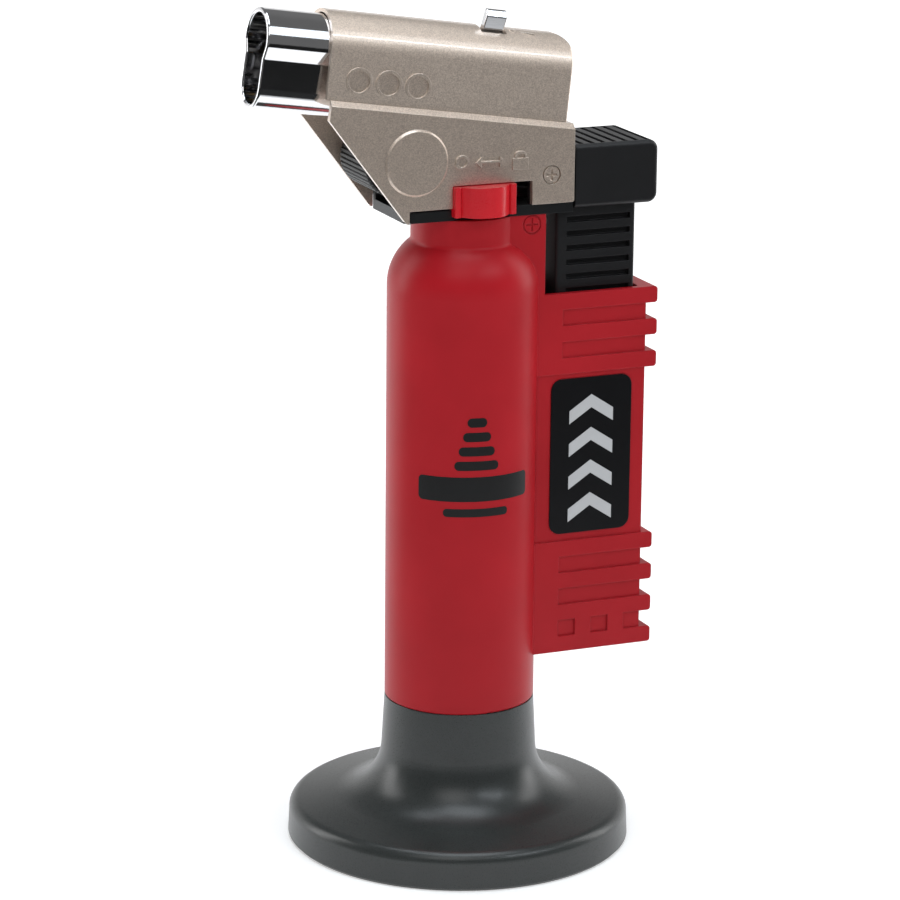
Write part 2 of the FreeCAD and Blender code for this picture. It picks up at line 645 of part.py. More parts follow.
def plate_outline():
    front = -plate_front
    top_back = step_height - plate_back * tangent(head_tilt)
    low_x = head_x(front, -plate_lip)
    low_z = head_z(front, -plate_lip)
    tip_x = low_x + (low_z - plate_tip) * 0.755
    return [
        (head_x(front, as_size(0)), head_z(front, as_size(0))), (low_x, low_z), (tip_x, plate_tip, 1.5),
        (-14.7, plate_tip, 0.4), (-14.7, plate_bottom), (slot_left, plate_bottom), (slot_left, slot_top, 0.3),
        (slot_right, slot_top, 0.3), (slot_right, plate_bottom - 0.4), (plate_back, plate_bottom - 0.4, 0.4),
        (plate_back, top_back),
    ]


def bulge_outline():
    """Front part of the lower head's outline, under its bevelled top edge."""
    front = -plate_front
    drop = as_size(-1.0)
    low_x = head_x(front, -plate_lip)
    low_z = head_z(front, -plate_lip)
    tip_x = low_x + (low_z - plate_tip) * 0.755
    return [
        (head_x(front, drop), head_z(front, drop)), (low_x, low_z), (tip_x, plate_tip, 1.5),
        (-14.7, plate_tip, 0.4),
        (-14.7, plate_bottom), (bulge_back, plate_bottom),
        (bulge_back, step_height - bulge_back * tangent(head_tilt) - 1.0),
    ]


def arrow_loop(x, z, half, bar, barb):
    """A double-headed arrow lying along X."""
    return [
        (x - half, z), (x - half + barb, z + barb), (x - half + barb, z + bar), (x + half - barb, z + bar),
        (x + half - barb, z + barb), (x + half, z), (x + half - barb, z - barb), (x + half - barb, z - bar),
        (x - half + barb, z - bar), (x - half + barb, z - barb),
    ]


def make_head_frame():
    body = new_body("head_frame")
    plates = outline(body, "plates_outline", "XZ_Plane", [plate_outline()])
    feature(body, "Pad", "plates", plates, plate_width, both_ways=True)
    under = as_size(-1) * plate_wall
    mouth = as_size(-24)
    beyond, above, deep, below = as_size(40), as_size(3), as_size(-60), as_size(110)
    ahead, behind = -beyond, as_size(30)
    room = outline(body, "room_outline", "XZ_Plane", [[
        (head_x(ahead, above), head_z(ahead, above)), (head_x(ahead, deep), below), (behind, below),
        (head_x(behind, under), head_z(behind, under)),
        (head_x(mouth, under), head_z(mouth, under)), (head_x(mouth, above), head_z(mouth, above)),
    ]])
    feature(body, "Pocket", "room", room, plate_width - plate_wall * 2, both_ways=True)
    far_side = plate_width * 0.5 + far_bulge
    bulge = outline(body, "far_bulge_outline", "XZ_Plane", [bulge_outline()], lift=-(plate_width * 0.5))
    bulged = feature(body, "Pad", "far_bulge", bulge, far_bulge, other_way=True)
    dressed(body, "Chamfer", "bulge_slope", bulged,
            lambda spot: near(spot.y, far_side) and near(spot.x, bulge_back), 1.5)
    roof = as_size(-2.2)
    far_room = outline(body, "far_room_outline", "XZ_Plane", [[
        (head_x(ahead, roof), head_z(ahead, roof)), (head_x(ahead, deep), below),
        (bulge_back - plate_wall * 2, below), (bulge_back - plate_wall * 2, 143.0),
    ]], lift=-(far_side - plate_wall))
    feature(body, "Pocket", "far_room", far_room, far_bulge + 0.3, other_way=True)
    hatch = outline(body, "hatch_outline", "XY_Plane", [box_loop(-6.0, 16.5, -4.2, 4.2)], lift=as_size(150))
    hatched = feature(body, "Pocket", "hatch", hatch, 14.0)
    side = plate_width * 0.5
    slope = tangent(head_tilt)
    dressed(
        body, "Chamfer", "top_bevel", hatched,
        lambda spot: near(abs(spot.y), side) and near(spot.z + spot.x * slope.value, step_height, 0.02), 0.95,
    )
    far_slot = outline(body, "far_fill_outline", "XZ_Plane",
                       [box_loop(slot_left - 0.5, slot_right + 0.5, plate_bottom, slot_top + 0.8)],
                       lift=-side + plate_wall)
    feature(body, "Pad", "far_fill", far_slot, plate_wall, other_way=True)
    disc = outline(body, "boss_outline", "XZ_Plane", [], [(boss_x, boss_z, boss_radius)], lift=side - 0.3)
    boss = feature(body, "Pad", "boss", disc, 0.7)
    dressed(body, "Chamfer", "boss_bevel", boss,
            lambda spot: near(spot.y, -(side.value + 0.4)) and abs(spot.x - boss_x.value) < 7, 0.35)
    root = side - 0.2
    ring = outline(body, "open_mark_outline", "XZ_Plane", [],
                   [(-4.3, symbol_level, 1.35), (-4.3, symbol_level, 0.9)], lift=root)
    feature(body, "Pad", "open_mark", ring, symbol_depth)
    arrow = outline(body, "arrow_outline", "XZ_Plane",
                    [arrow_loop(as_size(1.4), symbol_level - 0.3, 2.9, 0.25, 1.05)], lift=root)
    feature(body, "Pad", "arrow", arrow, symbol_depth)
    lock = outline(body, "lock_mark_outline", "XZ_Plane", [box_loop(5.9, 9.1, 133.2, 135.4)], lift=root)
    feature(body, "Pad", "lock_mark", lock, symbol_depth)
    shackle = outline(body, "shackle_outline", "XZ_Plane", [[
        (6.35, 135.3), (6.75, 135.3), (6.75, 136.3, 0.5), (8.25, 136.3, 0.5), (8.25, 135.3), (8.65, 135.3),
        (8.65, 136.7, 0.8), (6.35, 136.7, 0.8),
    ]], lift=root)
    feature(body, "Pad", "shackle", shackle, symbol_depth)
    seat = outline(body, "screw_seat_outline", "XZ_Plane", [], [(screw_x, screw_z, screw_radius + 0.28)],
        lift=side)
    sink = feature(body, "Pocket", "screw_seat", seat, 0.75)
    mirrored(body, "screw_seats", sink)
    bore = outline(body, "screw_bore_outline", "XZ_Plane", [], [(screw_x, screw_z, 0.95)])
    feature(body, "Pocket", "bores", bore, plate_width - 0.8, both_ways=True)
    axle = outline(body, "axle_bore_outline", "XZ_Plane", [], [(dial_x, dial_z, 1.0)], lift=side - 0.4)
    feature(body, "Pocket", "axle_bore", axle, plate_width + far_bulge - 0.8)
    return body


def barrel_section(inset, foot):
    """Half-round hood section, inset from the outer face and ending at foot."""
    inset = as_size(inset)
    side = barrel_foot - inset
    crown = barrel_crown - inset
    top = barrel_rise - inset
    return [(side, foot), (crown, top, barrel_round - inset), (-crown, top, barrel_round - inset),
        (-side, foot)]


def make_barrel():
    body = new_body("barrel_cover")
    outer = outline(body, "hood_outline", "YZ_Plane", [barrel_section(0, 0.02)], lift=-barrel_front)
    hood = feature(body, "Pad", "hood", outer, barrel_front + barrel_back)
    dressed(body, "Fillet", "back_edge", hood, lambda spot: near(spot.x, barrel_back) and spot.z > 0.5, 0.5)
    heel_start = barrel_back - barrel_heel - 0.2
    heel_low = barrel_rise - barrel_heel - 0.2
    beyond, above = barrel_back + 1, barrel_rise + 1
    heel = outline(body, "heel_outline", "XZ_Plane", [[
        (heel_start, barrel_rise), (barrel_back, barrel_rise, barrel_heel), (barrel_back, heel_low),
        (beyond, heel_low),
        (beyond, above), (heel_start, above),
    ]])
    feature(body, "Pocket", "heel", heel, barrel_foot * 2 + 2, both_ways=True)
    back_wall = 1.9
    inner = outline(body, "space_outline", "YZ_Plane", [barrel_section(barrel_wall, -1)],
        lift=barrel_back - back_wall)
    feature(body, "Pocket", "space", inner, barrel_front + barrel_back + 1)
    slot = outline(body, "slot_outline", "XY_Plane", [box_loop(-0.45, 4.75, -3.5, 3.5)], lift=barrel_rise + 1)
    feature(body, "Pocket", "slot", slot, 4.4)
    for step in range(3):
        back = dimple_first + dimple_pitch * step
        rim = outline(body, "dimple_rim_outline_%d" % step, "XZ_Plane", [],
                      [(back, dimple_rise, dimple_radius + 0.55)], lift=barrel_foot - 0.5)
        feature(body, "Pad", "dimple_rim_%d" % step, rim, 0.33)
        dimple = outline(body, "dimple_outline_%d" % step, "XZ_Plane", [],
                         [(back, dimple_rise, dimple_radius)], lift=barrel_foot + 0.5)
        feature(body, "Pocket", "dimple_%d" % step, dimple, 1.0)
    dot = outline(body, "dot_outline", "XY_Plane", [], [(6.3, -1.9, 0.7), (6.3, -1.9, 0.4)],
        lift=barrel_rise - 0.8)
    feature(body, "Pad", "dot", dot, 0.65)
    wedge = outline(body, "wedge_outline", "XY_Plane", [[(8.0, -2.6), (10.4, -3.3), (8.0, -0.6)]],
        lift=barrel_rise - 1.6)
    feature(body, "Pad", "wedge", wedge, 1.25)
    in_head(body)
    return body


def nozzle_section(inset):
    """Keyhole outline: a round upper part over straight sides and a rounded sole."""
    inset = as_size(inset)
    wide = nozzle_half - inset
    waist = nozzle_waist - inset
    top = barrel_rise - barrel_wall - 0.25 - inset
    right = [
        (waist, inset - nozzle_drop, nozzle_sole - inset), (waist, waist_top, 0.6),
        (wide, shoulder_top, 0.3), (wide, top, wide - 0.06),
    ]
    left = [(-corner[0], corner[1], corner[2]) for corner in reversed(right)]
    return right + left


def make_nozzle():
    body = new_body("nozzle_guard")
    wall = outline(body, "guard_outline", "YZ_Plane", [nozzle_section(0), nozzle_section(nozzle_wall)],
        lift=-nozzle_reach)
    guard = feature(body, "Pad", "guard", wall, nozzle_reach - 24.6)
    dressed(body, "Fillet", "lip", guard, lambda spot: near(spot.x, -nozzle_reach), 0.42)
    in_head(body)
    return body


def axis_pipe(label, outer, inner, start, end):
    """A tube round the burner axis, from start to end along the head."""
    body = new_body(label)
    ring = outline(body, "ring_outline", "YZ_Plane", [],
        [(0, burner_rise, outer), (0, burner_rise, inner)], lift=start)
    feature(body, "Pad", "ring", ring, as_size(end) - as_size(start))
    in_head(body)
    return body


def air_holes(pipe, radius):
    """Two crossed drillings through a pipe that lies on the burner axis."""
    for name, role, spot, lift in (
        ("upright", "XY_Plane", (air_hole_along, 0, radius), burner_rise + 6),
        ("level", "XZ_Plane", (air_hole_along, burner_rise, radius), as_size(6)),
    ):
        hole = outline(pipe, name + "_hole_outline", role, [], [spot], lift=lift)
        feature(pipe, "Pocket", name + "_holes", hole, 12.0)


def make_burner():
    tube = axis_pipe("burner_tube", tube_radius, tube_radius - 0.6, burner_mouth, 5.0)
    air_holes(tube, 1.3)
    holder = new_body("flame_holder")
    disc = outline(holder, "disc_outline", "YZ_Plane", [],
        [(0, burner_rise, tube_radius - 0.65), (0, burner_rise, 1.0)],
                   lift=burner_mouth + 2.0)
    feature(holder, "Pad", "disc", disc, 3.0)
    ports = []
    for step in range(6):
        turn = math.radians(60 * step + 30)
        ports.append((2.25 * math.cos(turn), burner_rise + 2.25 * math.sin(turn), 0.7))
    port = outline(holder, "port_outline", "YZ_Plane", [], ports, lift=burner_mouth + 6.0)
    feature(holder, "Pocket", "ports", port, 6.0)
    lip = outline(holder, "lip_outline", "YZ_Plane", [], [(0, burner_rise, 1.5), (0, burner_rise, 1.0)],
                  lift=burner_mouth + 0.8)
    feature(holder, "Pad", "lip", lip, 1.4)
    in_head(holder)
    jet = new_body("gas_jet")
    core = outline(jet, "core_outline", "YZ_Plane", [], [(0, burner_rise, 3.4)], lift=5.05)
    feature(jet, "Pad", "core", core, 7.1)
    tip = outline(jet, "tip_outline", "YZ_Plane", [], [(0, burner_rise, 1.1)], lift=2.9)
    feature(jet, "Pad", "tip", tip, 2.5)
    orifice = outline(jet, "orifice_outline", "YZ_Plane", [], [(0, burner_rise, 0.3)], lift=9.0)
    feature(jet, "Pocket", "orifice", orifice, 8.0)
    nipple = outline(jet, "nipple_outline", "XY_Plane", [], [(9.0, 0, 0.85)], lift=3.4)
    feature(jet, "Pad", "nipple", nipple, 3.0)
    feed = outline(jet, "feed_outline", "XY_Plane", [], [(9.0, 0, 0.45)], lift=burner_rise)
    feature(jet, "Pocket", "feed", feed, 7.0)
    in_head(jet)
    bracket = new_body("burner_bracket")
    plate = outline(bracket, "bracket_outline", "YZ_Plane", [box_loop(-1.5, 1.5, 0.02, 5.2)], [], lift=-14.0)
    feature(bracket, "Pad", "post", plate, 1.2)
    ring = outline(bracket, "ring_outline", "YZ_Plane", [], [(0, burner_rise, 5.2)], lift=-14.0)
    feature(bracket, "Pad", "ring", ring, 1.2)
    bore = outline(bracket, "bore_outline", "YZ_Plane", [], [(0, burner_rise, tube_radius + 0.02)],
        lift=-12.0)
    feature(bracket, "Pocket", "bore", bore, 4.0)
    in_head(bracket)
    return [tube, holder, jet, bracket]


def make_air_control():
    sleeve = axis_pipe("air_sleeve", sleeve_radius, tube_radius + fit_gap, -1.4, 4.9)
    air_holes(sleeve, 1.0)
    lever = new_body("air_lever")
    root = sleeve_radius - 0.15
    arm = outline(lever, "arm_outline", "YZ_Plane", [[
        (-0.8, root), (0.7, root), (0.75, lever_tip, 0.4), (-0.1, lever_tip, 0.3),
        (-1.0, lever_tip - 0.95, 0.3),
    ]], lift=0.0)
    strip = feature(lever, "Pad", "arm", arm, lever_width)
    dressed(lever, "Fillet", "corners", strip, lambda spot: spot.z > lever_tip.value - 1.3 and (
        near(spot.x, 0) or near(spot.x, lever_width)), 0.25)
    clear = outline(lever, "clear_outline", "XZ_Plane",
        [box_loop(-1.0, lever_width + 2, 0, sleeve_radius + 0.02)])
    feature(lever, "Pocket", "clear", clear, 8.0, both_ways=True)
    foot = Placement(Vector(0, 0, 0), Rotation(Vector(1, 0, 0), lever_angle.value))
    lift = Placement(Vector(0, 0, burner_rise.value), Rotation())
    tilt = Placement(Vector(0, 0, step_height.value), Rotation(Vector(0, 1, 0), head_tilt.value))
    lever.Placement = tilt * lift * foot
    lever.setExpression("Placement.Base.x", head_x(as_size(0), burner_rise).formula)
    lever.setExpression("Placement.Base.z", head_z(as_size(0), burner_rise).formula)
    return [sleeve, lever]


def make_gas_dial():
    body = new_body("gas_dial")
    teeth = 40
    rim = outline(body, "rim_outline", "XY_Plane", [], [(0, 0, dial_radius), (0, 0, 1.05)],
        lift=dial_width * -0.5)
    wheel = feature(body, "Pad", "wheel", rim, dial_width)
    dressed(body, "Chamfer", "rim_bevel", wheel,
        lambda spot: near(spot.x ** 2 + spot.y ** 2, dial_radius * dial_radius, 0.05), 0.35)
    valley = outline(body, "valley_outline", "XY_Plane", [[
        (dial_radius - 0.35, 0.0), (dial_radius + 0.3, -0.42), (dial_radius + 0.3, 0.42),
    ]], lift=dial_width * -0.5)
    cut = feature(body, "Pocket", "valley", valley, dial_width, other_way=True)
    around(body, "valleys", cut, "Z_Axis", teeth)
    hollow = outline(body, "hollow_outline", "XY_Plane", [], [(0, 0, dial_radius - 1.6), (0, 0, 2.4)],
        lift=dial_width * 0.5)
    feature(body, "Pocket", "hollow", hollow, 3.0)
    body.Placement = Placement(Vector(dial_x.value, dial_offset.value, dial_z.value),
        Rotation(Vector(1, 0, 0), 90))
    body.setExpression("Placement.Base.x", dial_x.formula)
    body.setExpression("Placement.Base.y", dial_offset.formula)
    body.setExpression("Placement.Base.z", dial_z.formula)
    axle = new_body("dial_axle")
    pin = outline(axle, "pin_outline", "XZ_Plane", [], [(dial_x, dial_z, 1.0)], lift=plate_width * 0.5 - 0.45)
    feature(axle, "Pad", "pin", pin, plate_width + far_bulge - 0.9, other_way=True)
    return [body, axle]


def make_screws():
    """Two cross-head screws, one each side of the lower head, as one group."""
    parts = []
    for side, turn in (("near", 90), ("far", -90)):
        shank = doc.addObject("Part::Cylinder", side + "_shank")
        head = doc.addObject("Part::Cylinder", side + "_head")
        bar = doc.addObject("Part::Box", side + "_bar")
        cross = doc.addObject("Part::Box", side + "_cross")
        for item, radius, height, start in ((shank, 0.85, 3.4, -3.9), (head, screw_radius.value, 0.6, -0.65)):
            item.Radius = radius
            item.Height = height
            item.Placement = Placement(Vector(0, 0, start), Rotation())
        head.setExpression("Radius", screw_radius.formula)
        for item, across, along in ((bar, 2.1, 0.5), (cross, 0.5, 2.1)):
            item.Length = across
            item.Width = along
            item.Height = 0.4
            item.Placement = Placement(Vector(-across / 2, -along / 2, -0.4), Rotation())
        solid = doc.addObject("Part::MultiFuse", side + "_solid")
        solid.Shapes = [shank, head]
        slots = doc.addObject("Part::MultiFuse", side + "_slots")
        slots.Shapes = [bar, cross]
        screw = doc.addObject("Part::Cut", side + "_screw")
        screw.Base = solid
        screw.Tool = slots
        reach = plate_width * (-0.5 if side == "near" else 0.5)
        screw.Placement = Placement(Vector(screw_x.value, reach.value, screw_z.value),
            Rotation(Vector(1, 0, 0), turn))
        screw.setExpression("Placement.Base.x", screw_x.formula)
        screw.setExpression("Placement.Base.y", reach.formula)
        screw.setExpression("Placement.Base.z", screw_z.formula)
        parts.append(screw)
    group = doc.addObject("Part::Compound", "head_screws")
    group.Links = parts
    group.Label = "head_screws"
    return group


def run_along(label, radius, hole, route, off_side, start_role="XY_Plane"):
    """A round cord or tube swept along a route of (x, z, rounding) points."""
    body = new_body(label)
    path = new_sketch(body, "path", "XZ_Plane", -as_size(off_side))
    draw_loop(path, route, closed=False)
    x, z = as_size(route[0][0]), as_size(route[0][1])
    circles = [(x, off_side, radius)]
    if hole:
        circles.append((x, off_side, hole))
    if start_role == "YZ_Plane":
        circles = [(off_side, z, c[2]) for c in circles]
    section = outline(body, "section", start_role, [], circles, lift=z if start_role == "XY_Plane" else x)
    doc.recompute()
    pipe = body.newObject("PartDesign::AdditivePipe", "cord")
    pipe.Profile = section
    pipe.Spine = (path, ["Edge%d" % (n + 1) for n in range(len(path.Shape.Edges))])
    return body


def make_lines():
    """Gas hose, ignition lead, ground strip, electrode and its insulator."""
    bend = as_size(-3.2)
    hose = run_along("gas_hose", hose_radius, 0.9, [
        (hose_x, neck_top + 0.6), (hose_x, 134.5, 3.0),
        (head_x(as_size(9), bend), head_z(as_size(9), bend), 3.0),
        (head_x(as_size(9), as_size(5.1)), head_z(as_size(9), as_size(5.1))),
    ], 0.0)
    run = as_size(1.3)
    lead = run_along("ignition_lead", 0.4, None, [
        (14.9, well_bottom + 2), (14.9, 132.0, 2.0),
        (head_x(as_size(14), run), head_z(as_size(14), run), 2.0),
        (head_x(as_size(-21.9), run), head_z(as_size(-21.9), run)),
    ], 2.4)
    strip = new_body("ground_strip")
    ribbon = outline(strip, "ribbon_outline", "XZ_Plane", [[
        (13.75, well_bottom + 0.3), (18.1, well_bottom + 0.3), (18.1, well_bottom + 0.6),
        (14.05, well_bottom + 0.6),
        (14.05, 118.0), (15.2, 122.0), (14.6, 126.0), (14.3, 126.0), (14.85, 122.0), (13.75, 118.1),
    ]], lift=2.0)
    feature(strip, "Pad", "ribbon", ribbon, 2.6)
    ceramic = new_body("electrode_insulator")
    rod = outline(ceramic, "rod_outline", "YZ_Plane", [], [(2.4, run, 1.3), (2.4, run, 0.42)], lift=-34.0)
    feature(ceramic, "Pad", "rod", rod, 12.0)
    in_head(ceramic)
    wire = new_body("electrode")
    core = outline(wire, "core_outline", "YZ_Plane", [], [(2.4, run, 0.38)], lift=burner_mouth - 2.5)
    feature(wire, "Pad", "core", core, 14.5)
    tip = outline(wire, "tip_outline", "XY_Plane", [], [(burner_mouth - 2.1, 2.4, 0.38)], lift=run)
    feature(wire, "Pad", "tip", tip, 2.4)
    in_head(wire)
    return [hose, lead, strip, ceramic, wire]


# ---------------------------------------------------------------- trigger group
def make_trigger():
    body = new_body("trigger")
    cap = outline(body, "cap_outline", "XZ_Plane", [[
        (cap_front, cap_low), (cap_rear, cap_low, 1.9), (cap_rear, cap_high, 1.9), (cap_front, cap_high),
    ]])
    cap_pad = feature(body, "Pad", "cap", cap, cap_width, both_ways=True)
    side = cap_width * 0.5
    dressed(body, "Fillet", "cap_rounding", cap_pad,
        lambda spot: near(abs(spot.y), side) and spot.x > cap_front.value + 0.05, 0.9)
    ridges = []
    for step in range(7):
        front = cap_front + 1.0 + as_size(2.3) * step
        ridges.append(box_loop(front, front + 0.95, cap_high - 0.7, cap_high + 1))
    ridge = outline(body, "ridge_outline", "XZ_Plane", ridges)
    feature(body, "Pocket", "ridges", ridge, cap_width - 1.9, both_ways=True)
    hollow = outline(body, "hollow_outline", "XY_Plane",
        [box_loop(cap_front + 1.5, cap_rear - 1.5, side * -1 + 1.5, side - 1.5)],
                     lift=cap_low)
    feature(body, "Pocket", "hollow", hollow, cap_high - cap_low - 2.4, other_way=True)
    stem_half = stem_width * 0.5
    stem = outline(body, "stem_outline", "XY_Plane", [[
        (stem_front, -stem_half, 0.7), (stem_rear, -stem_half, 0.7), (stem_rear, stem_half, 0.7),
        (stem_front, stem_half, 0.7),
    ]], lift=stem_low)
    feature(body, "Pad", "stem", stem, cap_high - 2.0 - stem_low)
    trim = outline(body, "trim_outline", "XZ_Plane",
        [box_loop(stem_front - 1, cap_front, cap_low + 5.2, cap_high + 2)])
    feature(body, "Pocket", "trim", trim, cap_width + 2, both_ways=True)
    inner = stem_half - rib_wall - 0.5
    room = outline(body, "room_outline", "XY_Plane", [
        box_loop(stem_front + 1.5, stem_rear - 1.5, -inner, inner), box_loop(20.4, 27.6, -3.1, 3.1),
    ], lift=stem_low)
    feature(body, "Pocket", "room", room, 26.0, other_way=True)
    gap = outline(body, "plunger_gap_outline", "XY_Plane", [box_loop(20.0, 28.0, -3.5, 3.5)], lift=stem_low)
    feature(body, "Pocket", "plunger_gap", gap, 4.0, other_way=True)
    louvres = []
    lowest = as_size(108.0)
    for step in range(6):
        low = lowest + louvre_pitch * step
        louvres.append(box_loop(stem_front + 2.1, stem_rear - 1.2, low, low + 1.15))
    groove = outline(body, "louvre_outline", "XZ_Plane", louvres, lift=stem_half)
    cut = feature(body, "Pocket", "louvre", groove, 1.0)
    mirrored(body, "louvres", cut)
    lug = outline(body, "lug_outline", "XZ_Plane", [[
        (14.6, 127.5), (stem_front + 1, 127.5), (stem_front + 1, 130.0), (15.4, 130.0), (14.6, 129.2),
    ]])
    feature(body, "Pad", "lug", lug, 3.0, both_ways=True)
    return body


def make_igniter():
    body = new_body("piezo_body")
    shell = outline(body, "shell_outline", "XY_Plane", [box_loop(18.2, 29.8, -5.0, 5.0)],
        lift=well_bottom + 0.02)
    feature(body, "Pad", "shell", shell, 29.5)
    bore = outline(body, "bore_outline", "XY_Plane", [box_loop(20.2, 27.8, -3.3, 3.3)], lift=well_bottom + 30)
    feature(body, "Pocket", "bore", bore, 20.0)
    contact = outline(body, "contact_outline", "XY_Plane", [], [(19.2, 2.4, 0.5)], lift=well_bottom + 29)
    feature(body, "Pad", "contact", contact, 1.6)
    plunger = new_body("piezo_plunger")
    block = outline(plunger, "block_outline", "XY_Plane", [[
        (20.3, -3.2, 0.4), (27.7, -3.2, 0.4), (27.7, 3.2, 0.4), (20.3, 3.2, 0.4),
    ]], lift=78.0)
    feature(plunger, "Pad", "block", block, 21.95)
    coil = spring("trigger_spring", 2.4, 0.35, 70.1, 77.95, 5, at_x=24.0)
    return [body, plunger, coil]


def make_rocker():
    body = new_body("valve_rocker")
    arm = outline(body, "arm_outline", "XZ_Plane", [[
        (-1.2, 129.2), (1.0, 127.6), (1.3, 126.5), (4.4, 126.3), (15.9, 126.5, 0.4), (15.9, 127.45, 0.4),
        (14.6, 127.45), (6.0, 129.3), (3.6, 129.75), (-1.2, 129.85),
    ]])
    feature(body, "Pad", "arm", arm, 3.0, both_ways=True)
    cheek = outline(body, "cheek_outline", "XZ_Plane", [[
        (-1.2, 129.2), (1.6, 127.0), (3.4, 126.3), (4.6, 127.6), (4.2, 129.6), (-1.2, 129.85),
    ]])
    feature(body, "Pad", "cheeks", cheek, 5.2, both_ways=True)
    fork = outline(body, "fork_outline", "XY_Plane", [box_loop(-2.0, 1.55, -1.45, 1.45)], lift=131.0)
    feature(body, "Pocket", "fork", fork, 6.0)
    bore = outline(body, "bore_outline", "XZ_Plane", [], [(pivot_x, pivot_z, 0.83)])
    feature(body, "Pocket", "bore", bore, 10.0, both_ways=True)
    pin = new_body("rocker_pin")
    rod = outline(pin, "rod_outline", "XZ_Plane", [], [(pivot_x, pivot_z, 0.78)])
    feature(pin, "Pad", "rod", rod, 9.2, both_ways=True)
    return [body, pin]


def make_lock():
    body = new_body("lock_slider")
    side = plate_width * 0.5
    left = slot_left + 0.05
    right = left + 12.45
    knob = outline(body, "knob_outline", "XY_Plane", [[
        (left, -side - 1.3, 0.3), (left + 1.15, -side - 1.3, 0.3), (left + 1.35, -side - 0.9),
        (left + 3.6, -side - 3.5, 4.0),
        (right - 3.6, -side - 3.5, 4.0), (right - 1.35, -side - 0.9), (right - 1.15, -side - 1.3, 0.3),
        (right, -side - 1.3, 0.3), (right, -side + 2.6), (left, -side + 2.6),
    ]], lift=slot_top - 5.85)
    feature(body, "Pad", "knob", knob, 5.7)
    under = outline(body, "under_outline", "XZ_Plane",
        [box_loop(left - 1, right + 1, slot_top - 7, plate_bottom - 0.35)],
                    lift=side - 0.55)
    feature(body, "Pocket", "under", under, 5.0)
    foot = outline(body, "foot_outline", "XZ_Plane",
        [box_loop(left + 3, right - 1.5, plate_bottom + 0.2, slot_top - 1.0)],
                   lift=4.85)
    feature(body, "Pad", "foot", foot, side - 2.4 - 4.85)
    spring_plate = new_body("lock_spring")
    leaf = outline(spring_plate, "leaf_outline", "XZ_Plane", [[
        (left + 0.5, 131.1), (left + 1.5, 131.1), (left + 4.0, 130.05), (left + 5.0, 130.05),
        (right - 2.0, 131.1),
        (right - 1.0, 131.1), (right - 1.0, 131.35), (right - 2.1, 131.35), (left + 4.9, 130.3),
        (left + 4.1, 130.3),
        (left + 1.6, 131.35), (left + 0.5, 131.35),
    ]], lift=4.9)
    feature(spring_plate, "Pad", "leaf", leaf, 1.3)
    tabs = outline(spring_plate, "tab_outline", "XZ_Plane", [
        box_loop(left + 0.5, left + 1.5, 131.12, 131.35), box_loop(right - 2.0, right - 1.0, 131.12, 131.35),
    ], lift=6.1)
    feature(spring_plate, "Pad", "tabs", tabs, 0.34)
    return [body, spring_plate]


def make_label():
    body = new_body("side_label")
    side = handle_width * 0.5 - groove_depth + label_thickness
    sheet_loop = outline(body, "label_outline", "XZ_Plane", [[
        (15.2, 60.9, 2.2), (32.1, 60.9, 2.2), (32.1, 91.6, 2.2), (15.2, 91.6, 2.2),
    ]], lift=side - label_thickness)
    feature(body, "Pad", "label", sheet_loop, label_thickness)
    return body


# ---------------------------------------------------------------- build and save
pieces = [make_stand(), make_tank(), make_tank_cap()]
pieces += make_fill_valve()
pieces += make_outlet_valve()
pieces += [make_chassis(), make_head_frame(), make_barrel(), make_nozzle()]
pieces += make_burner()
pieces += make_air_control()
pieces += make_gas_dial()
pieces += [make_screws()]
pieces += make_lines()
pieces += [make_trigger()]
pieces += make_igniter()
pieces += make_rocker()
pieces += make_lock()
pieces += [make_label()]
doc.recompute()

os.makedirs("parts", exist_ok=True)
for old in os.listdir("parts"):
    os.remove(os.path.join("parts", old))
faults = []
for item in doc.Objects:
    if "Invalid" in item.State or "Error" in item.State:
        faults.append("%s: %s" % (item.Name, item.State))
for piece in pieces:
    shape = piece.Shape
    if shape.isNull() or not shape.isValid():
        faults.append("%s has no valid shape" % piece.Label)
        continue
    shape.exportStep(os.path.join("parts", piece.Label + ".step"))
    print("%-22s solids %d volume %9.1f" % (piece.Label, len(shape.Solids), shape.Volume), shape.BoundBox)
if faults:
    raise SystemExit("\n".join(faults))
print(len(pieces), "pieces")
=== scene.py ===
import json
import math

import bmesh
import bpy
from mathutils import Matrix, Vector


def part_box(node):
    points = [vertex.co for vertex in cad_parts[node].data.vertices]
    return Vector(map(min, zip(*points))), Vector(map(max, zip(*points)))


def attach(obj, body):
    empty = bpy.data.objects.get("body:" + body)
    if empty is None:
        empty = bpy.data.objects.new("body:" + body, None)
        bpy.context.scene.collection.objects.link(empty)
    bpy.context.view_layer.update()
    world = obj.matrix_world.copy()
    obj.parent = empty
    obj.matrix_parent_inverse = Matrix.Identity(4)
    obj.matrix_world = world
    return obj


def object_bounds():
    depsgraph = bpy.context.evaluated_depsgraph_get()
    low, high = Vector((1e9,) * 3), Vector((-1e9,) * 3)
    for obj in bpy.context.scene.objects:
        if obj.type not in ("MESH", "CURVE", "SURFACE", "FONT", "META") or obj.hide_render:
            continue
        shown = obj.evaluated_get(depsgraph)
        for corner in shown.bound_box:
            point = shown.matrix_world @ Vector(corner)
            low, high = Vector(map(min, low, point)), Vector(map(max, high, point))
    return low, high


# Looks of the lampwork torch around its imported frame: materials, printed marks and studio.
# Metres, +Z up; the nozzle points along -X, the trigger is at +X, the lock is on the -Y side.

